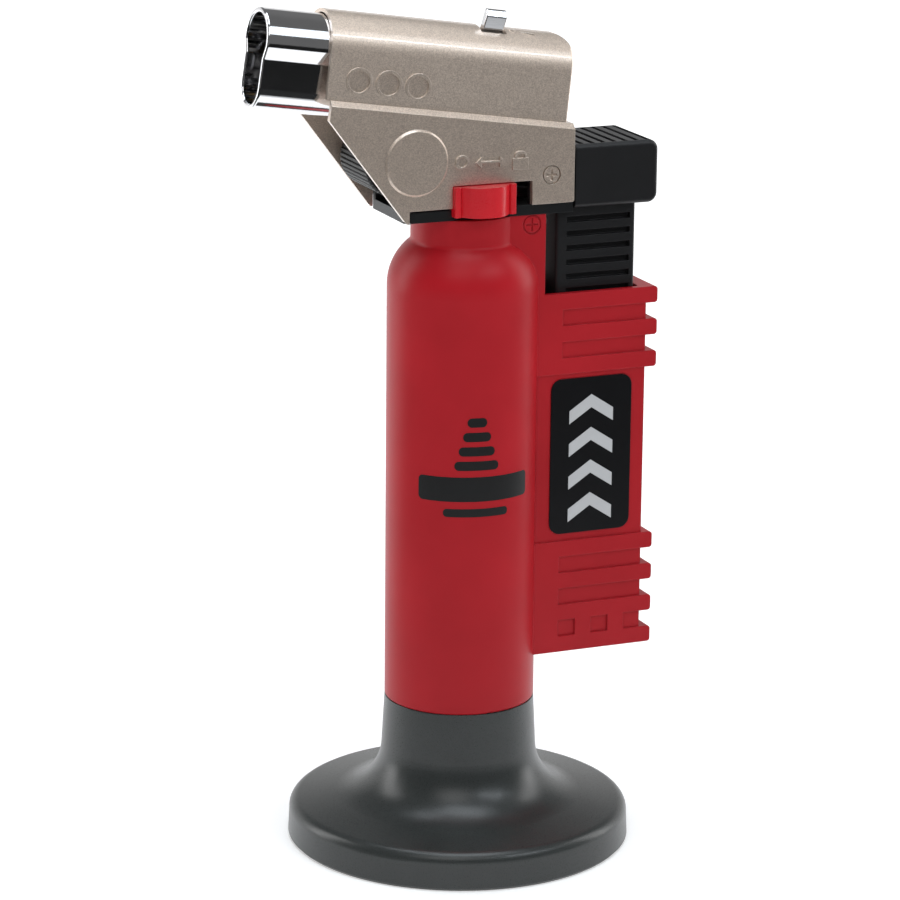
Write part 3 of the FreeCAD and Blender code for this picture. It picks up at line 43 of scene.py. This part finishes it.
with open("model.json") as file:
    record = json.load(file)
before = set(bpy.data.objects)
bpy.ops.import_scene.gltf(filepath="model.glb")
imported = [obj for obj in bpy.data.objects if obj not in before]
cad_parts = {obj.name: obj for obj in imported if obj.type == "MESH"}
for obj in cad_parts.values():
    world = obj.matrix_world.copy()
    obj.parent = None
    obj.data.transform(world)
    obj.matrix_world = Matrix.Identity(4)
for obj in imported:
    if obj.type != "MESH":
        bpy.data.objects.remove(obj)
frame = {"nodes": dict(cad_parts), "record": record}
cad_low, cad_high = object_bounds()
MM = 0.001


# ---------------------------------------------------------------- material graphs
class Graph:
    """A material's node tree; places are measured in millimetres on the resting object."""

    def __init__(self, name):
        self.material = bpy.data.materials.new(name)
        self.material.use_nodes = True
        self.tree = self.material.node_tree
        self.tree.nodes.clear()
        self.output = self.tree.nodes.new("ShaderNodeOutputMaterial")
        coordinates = self.tree.nodes.new("ShaderNodeTexCoord").outputs["Object"]
        self.place = self.vector("SCALE", coordinates, Scale=1 / MM)

    def fill(self, socket, value):
        if isinstance(value, bpy.types.NodeSocket):
            self.tree.links.new(value, socket)
        elif value is not None:
            if socket.type == "RGBA" and len(value) == 3:
                value = (*value, 1.0)
            socket.default_value = value

    def node(self, kind, inputs=(), **settings):
        item = self.tree.nodes.new("ShaderNode" + kind)
        for key, value in settings.items():
            setattr(item, key, value)
        for key, value in dict(inputs).items():
            self.fill(item.inputs[key], value)
        return item

    def vector(self, operation, first, second=None, **inputs):
        item = self.node("VectorMath", operation=operation)
        self.fill(item.inputs[0], first)
        self.fill(item.inputs[1], second)
        for key, value in inputs.items():
            self.fill(item.inputs[key], value)
        return item.outputs["Value" if operation in ("DOT_PRODUCT", "LENGTH") else "Vector"]

    def maths(self, operation, first, second=None, clamp=False):
        item = self.node("Math", operation=operation, use_clamp=clamp)
        self.fill(item.inputs[0], first)
        self.fill(item.inputs[1], second)
        return item.outputs[0]

    def stretched(self, across):
        """Places with each axis scaled, for grain that runs along one direction."""
        return self.vector("MULTIPLY", self.place, across)

    def noise(self, per_mm, detail=2.0, roughness=0.5, place=None):
        item = self.node("TexNoise", {
            "Vector": place or self.place, "Scale": per_mm, "Detail": detail, "Roughness": roughness,
        })
        return item.outputs["Fac"]

    def cells(self, per_mm, output="Color"):
        return self.node("TexVoronoi", {"Vector": self.place, "Scale": per_mm}).outputs[output]

    def ramp(self, value, low, high, low_out=0.0, high_out=1.0):
        item = self.node("MapRange", {
            "Value": value, "From Min": low, "From Max": high, "To Min": low_out, "To Max": high_out,
        })
        return item.outputs["Result"]

    def mix(self, share, first, second):
        item = self.node("Mix", data_type="RGBA")
        self.fill(item.inputs[0], share)
        self.fill(item.inputs[6], first)
        self.fill(item.inputs[7], second)
        return item.outputs[2]

    def rounded(self, radius):
        """Normals that round every sharp edge by a radius in millimetres."""
        return self.node("Bevel", {"Radius": radius * MM}, samples=4).outputs["Normal"]

    def edges(self, radius):
        """0 on open surfaces, rising to 1 on sharp edges."""
        geometry = self.node("NewGeometry").outputs["Normal"]
        same = self.vector("DOT_PRODUCT", self.rounded(radius), geometry)
        return self.ramp(same, 0.995, 0.8)

    def bump(self, height, depth, normal=None):
        """Bumps the normal by a height of 0 to 1 times a depth in millimetres."""
        inputs = {"Height": height, "Distance": depth * MM, "Strength": 1.0, "Normal": normal}
        return self.node("Bump", inputs).outputs["Normal"]

    def surface(self, **inputs):
        named = {key.replace("_", " "): value for key, value in inputs.items()}
        shader = self.node("BsdfPrincipled", named)
        self.tree.links.new(shader.outputs["BSDF"], self.output.inputs["Surface"])
        return self.material


def tints(colour, factor, added=0.0):
    """The colour made lighter or darker, held within 0 to 1."""
    return [min(1.0, part * factor + added) for part in colour]


def moulded(name, colour, roughness, grain=0.006, grain_per_mm=9.0, edge=0.18, gloss=0.5, coat=0.0, lift=1.5):
    """Moulded plastic: fine spark-eroded grain, faint flow mottling and edges rubbed lighter by lift."""
    g = Graph(name)
    mottle = g.noise(0.16, 3.0)
    fine = g.noise(grain_per_mm, 3.0, 0.6)
    rub = g.maths("MULTIPLY", g.edges(edge * 1.6), g.ramp(g.noise(0.7, 3.0), 0.35, 0.7))
    base = g.mix(g.ramp(mottle, 0.3, 0.7), tints(colour, 0.93), tints(colour, 1.06))
    worn = g.mix(g.maths("MULTIPLY", rub, 0.35), base, tints(colour, lift, 0.01))
    skin = g.ramp(fine, 0.3, 0.7, roughness - 0.05, roughness + 0.06)
    rough = g.maths("ADD", skin, g.maths("MULTIPLY", rub, -0.08))
    normal = g.bump(fine, grain, g.rounded(edge))
    return g.surface(Base_Color=worn, Roughness=rough, Normal=normal, Specular_IOR_Level=gloss,
                     Coat_Weight=coat, Coat_Roughness=0.25)


def coated_red():
    """The tank's satin red lacquer over plastic, with a faint orange-peel skin."""
    g = Graph("body_red")
    peel = g.noise(0.9, 2.0)
    fine = g.noise(11.0, 2.0, 0.6)
    mottle = g.noise(0.06, 3.0)
    deep, bright = (0.375, 0.0065, 0.0125), (0.435, 0.0085, 0.0160)
    base = g.mix(g.ramp(mottle, 0.3, 0.7), deep, bright)
    rub = g.maths("MULTIPLY", g.edges(0.5), g.ramp(g.noise(0.5, 4.0), 0.4, 0.75))
    base = g.mix(g.maths("MULTIPLY", rub, 0.3), base, (0.52, 0.045, 0.06))
    rough = g.ramp(fine, 0.3, 0.7, 0.33, 0.42)
    height = g.maths("ADD", g.maths("MULTIPLY", peel, 0.7), g.maths("MULTIPLY", fine, 0.3))
    normal = g.bump(height, 0.012, g.rounded(0.3))
    return g.surface(Base_Color=base, Roughness=rough, Normal=normal, Specular_IOR_Level=0.2)


def champagne():
    """Metallic lacquer: warm aluminium flakes under a thin clear coat."""
    g = Graph("head_champagne")
    flake = g.cells(6.5)
    spark = g.node("SeparateColor", {"Color": flake}).outputs[0]
    cloud = g.ramp(g.noise(0.25, 2.0), 0.3, 0.7, -0.06, 0.06)
    shade = g.maths("ADD", spark, cloud, clamp=True)
    base = g.mix(shade, (0.63, 0.515, 0.432), (0.86, 0.725, 0.61))
    rub = g.maths("MULTIPLY", g.edges(0.3), g.ramp(g.noise(0.9, 3.0), 0.35, 0.7))
    base = g.mix(g.maths("MULTIPLY", rub, 0.5), base, (0.86, 0.80, 0.74))
    rough = g.ramp(spark, 0.0, 1.0, 0.40, 0.48)
    tilt = g.vector("SUBTRACT", flake, (0.5, 0.5, 0.5))
    rounded = g.rounded(0.16)
    glint = g.vector("NORMALIZE", g.vector("ADD", rounded, g.vector("SCALE", tilt, Scale=0.07)))
    return g.surface(Base_Color=base, Metallic=0.78, Roughness=rough, Normal=glint,
                     Coat_Weight=0.8, Coat_IOR=1.65, Coat_Roughness=0.02, Coat_Normal=rounded)


def plated():
    """Bright chrome plate with faint polishing haze and hairline scratches."""
    g = Graph("nozzle_chrome")
    haze = g.noise(0.5, 4.0)
    hair = g.noise(1.0, 2.0, 0.5, g.stretched((0.4, 9.0, 9.0)))
    rough = g.ramp(haze, 0.3, 0.75, 0.035, 0.10)
    tint = g.mix(g.ramp(g.noise(0.12, 2.0), 0.35, 0.65), (0.80, 0.80, 0.82), (0.86, 0.86, 0.87))
    normal = g.bump(hair, 0.0015, g.rounded(0.08))
    return g.surface(Base_Color=tint, Metallic=1.0, Roughness=rough, Normal=normal)


def bright_metal(name, dark, light, roughness, grain=(1.0, 1.0, 1.0), edge=0.08):
    """Turned, drawn or brushed metal; grain stretches the marks along one axis."""
    g = Graph(name)
    marks = g.noise(3.0, 3.0, 0.6, g.stretched(grain))
    stain = g.noise(0.35, 4.0)
    base = g.mix(g.ramp(stain, 0.3, 0.7), dark, light)
    rough = g.ramp(marks, 0.3, 0.7, roughness - 0.07, roughness + 0.09)
    normal = g.bump(marks, 0.006, g.rounded(edge))
    return g.surface(Base_Color=base, Metallic=1.0, Roughness=rough, Normal=normal)


def rubbery(name, colour, roughness):
    """Rubber or soft sheath: matt, with a patchy film of dust."""
    g = Graph(name)
    dust = g.ramp(g.noise(0.8, 5.0, 0.7), 0.45, 0.8)
    base = g.mix(g.maths("MULTIPLY", dust, 0.35), colour, tints(colour, 1.0, 0.05))
    normal = g.bump(g.noise(7.0, 3.0, 0.6), 0.01, g.rounded(0.1))
    rough = g.ramp(dust, 0.0, 1.0, roughness, roughness + 0.15)
    return g.surface(Base_Color=base, Roughness=rough, Normal=normal)


def glazed():
    """White alumina: a soft glaze with faint speckle."""
    g = Graph("ceramic_white")
    speck = g.ramp(g.cells(3.0, "Distance"), 0.02, 0.08)
    base = g.mix(speck, (0.62, 0.58, 0.52), (0.80, 0.78, 0.73))
    rough = g.ramp(g.noise(2.0), 0.3, 0.7, 0.22, 0.34)
    normal = g.bump(g.noise(1.5), 0.01)
    return g.surface(Base_Color=base, Roughness=rough, Normal=normal,
                     Subsurface_Weight=0.05, Subsurface_Radius=(MM, MM, MM))


def printed(name, colour, roughness):
    """Screen-printed ink: flat colour broken by fine pinholes and a faint weave of the screen."""
    g = Graph(name)
    pin = g.ramp(g.noise(6.0, 3.0, 0.7), 0.25, 0.36)
    base = g.mix(pin, tints(colour, 0.75, 0.02), colour)
    screen = g.noise(14.0, 1.0)
    rough = g.ramp(screen, 0.3, 0.7, roughness - 0.05, roughness + 0.07)
    return g.surface(Base_Color=base, Roughness=rough, Normal=g.bump(screen, 0.004))


finishes = {
    "stand_black": moulded("stand_black", (0.030, 0.034, 0.033), 0.30, grain=0.012, grain_per_mm=6.0,
                           edge=0.3, lift=1.7),
    "body_red": coated_red(),
    "grip_black": moulded("grip_black", (0.010, 0.010, 0.011), 0.46, gloss=0.4, grain=0.012,
                          grain_per_mm=7.0, edge=0.16, lift=2.2),
    "chassis_black": moulded("chassis_black", (0.010, 0.011, 0.012), 0.38, gloss=0.4, edge=0.12, lift=2.0),
    "head_champagne": champagne(),
    "nozzle_chrome": plated(),
    "lock_red": moulded("lock_red", (0.60, 0.005, 0.014), 0.30, grain=0.003, edge=0.2, coat=0.2, lift=1.2),
    "brass": bright_metal("brass", (0.56, 0.36, 0.13), (0.74, 0.52, 0.24), 0.28, (1.0, 1.0, 4.0)),
    "steel": bright_metal("steel", (0.36, 0.36, 0.37), (0.55, 0.55, 0.56), 0.32, (4.0, 1.0, 1.0)),
    "spring_steel": bright_metal("spring_steel", (0.30, 0.30, 0.31), (0.46, 0.46, 0.48), 0.30),
    "seal_rubber": rubbery("seal_rubber", (0.016, 0.016, 0.017), 0.55),
    "hose_black": rubbery("hose_black", (0.022, 0.022, 0.024), 0.42),
    "pickup_white": moulded("pickup_white", (0.78, 0.78, 0.74), 0.5, edge=0.08, lift=1.0),
    "ceramic_white": glazed(),
    "lead_insulation": rubbery("lead_insulation", (0.17, 0.155, 0.13), 0.45),
    "label_black": moulded("label_black", (0.0055, 0.0055, 0.0065), 0.34, gloss=0.25, grain=0.004,
                           grain_per_mm=5.0, edge=0.1, lift=2.0),
}
slot_of = {item["node"]: item["material_slot"] for item in frame["record"]["subparts"]}
for name, item in frame["nodes"].items():
    item.data.materials.clear()
    item.data.materials.append(finishes[slot_of[name]])


# ---------------------------------------------------------------- printed marks
def new_object(name, mesh_data, material):
    mesh = bpy.data.meshes.new(name)
    mesh_data.to_mesh(mesh)
    mesh_data.free()
    mesh.materials.append(material)
    item = bpy.data.objects.new(name, mesh)
    bpy.context.scene.collection.objects.link(item)
    return item


def print_patch(shapes, place, thickness, step=0.4 * MM):
    """A thin solid over flat outlines; place() carries (across, up, proud) onto the surface."""
    data = bmesh.new()
    for outline in shapes:
        flat = bmesh.new()
        ring = [flat.verts.new((x, y, 0)) for x, y in outline]
        flat.faces.new(ring)
        bmesh.ops.triangulate(flat, faces=flat.faces[:])
        left = min(x for x, y in outline)
        right = max(x for x, y in outline)
        cuts = int((right - left) / step)
        for number in range(1, cuts + 1):
            bmesh.ops.bisect_plane(
                flat, geom=flat.verts[:] + flat.edges[:] + flat.faces[:],
                plane_co=(left + number * step, 0, 0), plane_no=(1, 0, 0),
            )
        top = {v: data.verts.new(place(v.co.x, v.co.y, thickness)) for v in flat.verts}
        low = {v: data.verts.new(place(v.co.x, v.co.y, 0.0)) for v in flat.verts}
        for face in flat.faces:
            data.faces.new([top[v] for v in face.verts])
            data.faces.new([low[v] for v in reversed(face.verts)])
        for edge in flat.edges:
            if edge.is_boundary:
                loop = edge.link_loops[0]
                a, b = loop.vert, loop.link_loop_next.vert
                data.faces.new([top[b], top[a], low[a], low[b]])
        flat.free()
    bmesh.ops.recalc_face_normals(data, faces=data.faces[:])
    return data


def pill(centre_x, centre_y, width, height, radius, steps=6):
    """A rounded bar's outline."""
    points = []
    for corner in range(4):
        across = centre_x + (width / 2 - radius) * (1 if corner in (0, 3) else -1)
        up = centre_y + (height / 2 - radius) * (1 if corner < 2 else -1)
        for step in range(steps + 1):
            turn = math.pi / 2 * (corner + step / steps)
            points.append((across + radius * math.cos(turn), up + radius * math.sin(turn)))
    return points


tank_radius = -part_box("tank_body")[0].x
label_low, label_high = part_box("side_label")
label_middle = (label_low + label_high) / 2
INK_THICKNESS = 0.02 * MM
TANK_MARK_FACING = -101.3
TANK_MARK_ABOVE_LABEL = 12.6 * MM


def on_tank(facing):
    """Wraps a flat mark round the tank, centred on a direction in degrees."""
    middle = math.radians(facing)

    def place(across, up, proud):
        turn = middle + across / tank_radius
        radius = tank_radius + proud
        return (radius * math.cos(turn), radius * math.sin(turn), up)

    return place


def tank_bars():
    """A broad bar with a short one below it and four shrinking bars stacked above it."""
    level = label_low.z + TANK_MARK_ABOVE_LABEL
    bars = [
        pill(0, level, 23.0 * MM, 4.8 * MM, 0.9 * MM),
        pill(0, level - 4.6 * MM, 12.8 * MM, 1.6 * MM, 0.7 * MM),
    ]
    for number in range(4):
        width = 8.6 - 1.6 * number
        bars.append(pill(0, level + (4.6 + 2.8 * number) * MM, width * MM, 1.8 * MM, 0.85 * MM))
    return bars


def on_label(across, up, proud):
    """Lays a flat mark on the label's outer face."""
    return (across, label_low.y - proud, up)


def chevron(x, z, half, rise, thick):
    """An arrow head that points up, its inner corner at x, z."""
    return [
        (x - half, z - rise), (x, z), (x + half, z - rise), (x + half, z - rise + thick), (x, z + thick),
        (x - half, z - rise + thick),
    ]


def label_chevrons():
    shapes = []
    for number in range(4):
        level = label_low.z + (5.2 + 6.5 * number) * MM
        shapes.append(chevron(label_middle.x, level, 4.6 * MM, 3.0 * MM, 2.6 * MM))
    return shapes


tank_print = print_patch(tank_bars(), on_tank(TANK_MARK_FACING), INK_THICKNESS)
label_print = print_patch(label_chevrons(), on_label, INK_THICKNESS)
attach(new_object("tank_mark", tank_print, printed("tank_ink", (0.004, 0.004, 0.0045), 0.45)), "torch")
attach(new_object("label_mark", label_print, printed("label_ink", (0.50, 0.51, 0.52), 0.4)), "torch")


# ---------------------------------------------------------------- studio
def soft_light(name, place, aim, width, height, power, colour=(1, 1, 1)):
    """A rectangular lamp that faces a point."""
    lamp = bpy.data.lights.new(name, "AREA")
    lamp.shape = "RECTANGLE"
    lamp.size = width
    lamp.size_y = height
    lamp.energy = power
    lamp.color = colour
    item = bpy.data.objects.new(name, lamp)
    bpy.context.scene.collection.objects.link(item)
    item.location = place
    item.rotation_mode = "QUATERNION"
    item.rotation_quaternion = (aim - place).to_track_quat("-Z", "Y")


FLOOR_WIDTH = 6.0
FLOOR_GAP = 0.02 * MM
VIEW_AZIMUTH = math.radians(-22.8)
middle = (cad_low + cad_high) / 2
toward = Vector((math.sin(VIEW_AZIMUTH), -math.cos(VIEW_AZIMUTH), 0))
beside = Vector((math.cos(VIEW_AZIMUTH), math.sin(VIEW_AZIMUTH), 0))


def spot(near, side, up):
    """A studio place by its distance toward the viewer, to the viewer's right, and up."""
    return toward * near + beside * side + Vector((0, 0, up))


def floor_paper():
    """Pale paper that glows more with distance; its front part is painted dark for glossy rays only, a
    painted dark reflection standing in for a black flag that is not in the scene.
    """
    g = Graph("floor_pale")
    tooth = g.noise(0.8, 3.0)
    base = g.mix(g.ramp(tooth, 0.3, 0.7), (0.80, 0.80, 0.80), (0.83, 0.83, 0.83))
    distance = g.vector("LENGTH", g.place)
    facing = g.maths("DIVIDE", g.vector("DOT_PRODUCT", g.place, toward), distance)
    # Painted dark reflection: towards the viewer the floor turns black to glossy rays only, in place of a
    # black flag.
    painted_dark_reflection = g.maths("MULTIPLY", g.ramp(distance, 130.0, 200.0), g.ramp(facing, -0.45, -0.1))
    ray = g.node("LightPath").outputs
    kept = g.maths("SUBTRACT", 1.0, g.maths("MULTIPLY", painted_dark_reflection, ray["Is Glossy Ray"]))
    base = g.mix(kept, (0.02, 0.02, 0.02), base)
    dimmed = g.ramp(ray["Is Diffuse Ray"], 0, 1, 1, 0.85)
    glow = g.maths("MULTIPLY", g.ramp(distance, 60.0, 700.0, 0.42, 0.9), dimmed)
    return g.surface(Base_Color=base, Roughness=0.95, Specular_IOR_Level=0.1, Emission_Color=(1, 1, 1),
                     Emission_Strength=g.maths("MULTIPLY", glow, kept), Normal=g.bump(tooth, 0.02))


def lay_floor():
    """A square of paper just under the foot, part of the stage."""
    data = bmesh.new()
    bmesh.ops.create_grid(data, x_segments=1, y_segments=1, size=FLOOR_WIDTH / 2)
    floor = new_object("floor", data, floor_paper())
    floor.location.z = cad_low.z - FLOOR_GAP


lay_floor()
head = Vector((0, 0, 0.9 * cad_high.z))
COOL = (0.87, 0.94, 1.0)
soft_light("key", spot(0.60, -0.08, 0.68), middle, 0.50, 0.40, 1.15)
soft_light("overhead", spot(0.0, 0.0, 0.80), middle, 0.60, 0.45, 3.3, COOL)
soft_light("side_box", spot(0.384, 0.549, 0.67), head, 0.45, 0.36, 0.8, COOL)
soft_light("strip", spot(0.416, 0.495, 0.62), head, 0.55, 0.022, 0.7, COOL)
soft_light("left_box", spot(-0.20, -0.78, 0.32), middle, 0.30, 0.70, 2.3)
soft_light("right_box", spot(-0.28, 0.76, 0.36), middle, 0.30, 0.70, 2.1)


def studio_world():
    """White sweep behind the object, dark room in front and above; white to the camera."""
    world = bpy.data.worlds.new("studio")
    bpy.context.scene.world = world
    world.use_nodes = True
    tree = world.node_tree
    tree.nodes.clear()

    def node(kind, **settings):
        item = tree.nodes.new("ShaderNode" + kind)
        for key, value in settings.items():
            setattr(item, key, value)
        return item

    def ramp(value, low, high, low_out, high_out):
        item = node("MapRange", interpolation_type="SMOOTHSTEP")
        tree.links.new(value, item.inputs["Value"])
        for key, number in zip(("From Min", "From Max", "To Min", "To Max"), (low, high, low_out, high_out)):
            item.inputs[key].default_value = number
        return item.outputs["Result"]

    def times(first, second):
        item = node("Math", operation="MULTIPLY")
        tree.links.new(first, item.inputs[0])
        tree.links.new(second, item.inputs[1])
        return item.outputs[0]

    direction = node("TexCoord").outputs["Generated"]
    away = node("VectorMath", operation="DOT_PRODUCT")
    tree.links.new(direction, away.inputs[0])
    away.inputs[1].default_value = -toward
    parts = node("SeparateXYZ")
    tree.links.new(direction, parts.inputs[0])
    behind = ramp(away.outputs["Value"], 0.05, 0.7, 0.0, 1.0)
    sweep = times(behind, ramp(parts.outputs["Z"], 0.22, 0.5, 1.0, 0.12))
    glow = ramp(sweep, 0.0, 1.0, 0.13, 0.9)
    room, white, mixed = node("Background"), node("Background"), node("MixShader")
    tree.links.new(glow, room.inputs["Strength"])
    white.inputs["Strength"].default_value = 1.0
    white.inputs["Color"].default_value = (1, 1, 1, 1)
    room.inputs["Color"].default_value = (1, 1, 1, 1)
    tree.links.new(node("LightPath").outputs["Is Camera Ray"], mixed.inputs[0])
    tree.links.new(room.outputs[0], mixed.inputs[1])
    tree.links.new(white.outputs[0], mixed.inputs[2])
    tree.links.new(mixed.outputs[0], node("OutputWorld").inputs["Surface"])


studio_world()

# ---------------------------------------------------------------- camera
CAMERA_ELEVATION = math.radians(14.97)
CAMERA_ROLL = math.radians(0.496)
CAMERA_PLACE = (-0.28096, -0.65498, 0.27065)
CAMERA_LENS = 153.99
CAMERA_SHIFT = (0.0174, -0.0155)


def set_camera():
    """A long lens a little above the head, level but for a slight roll."""
    data = bpy.data.cameras.new("camera")
    data.sensor_width = 36.0
    data.lens = CAMERA_LENS
    data.shift_x, data.shift_y = CAMERA_SHIFT
    data.clip_start = 0.05
    data.clip_end = 20.0
    camera = bpy.data.objects.new("camera", data)
    bpy.context.scene.collection.objects.link(camera)
    back = toward * math.cos(CAMERA_ELEVATION) + Vector((0, 0, math.sin(CAMERA_ELEVATION)))
    turn = Matrix((beside, back.cross(beside), back)).transposed()
    camera.rotation_mode = "QUATERNION"
    camera.rotation_quaternion = (turn @ Matrix.Rotation(CAMERA_ROLL, 3, "Z")).to_quaternion()
    camera.location = CAMERA_PLACE
    bpy.context.scene.camera = camera


set_camera()
bpy.context.scene.view_settings.view_transform = "Standard"
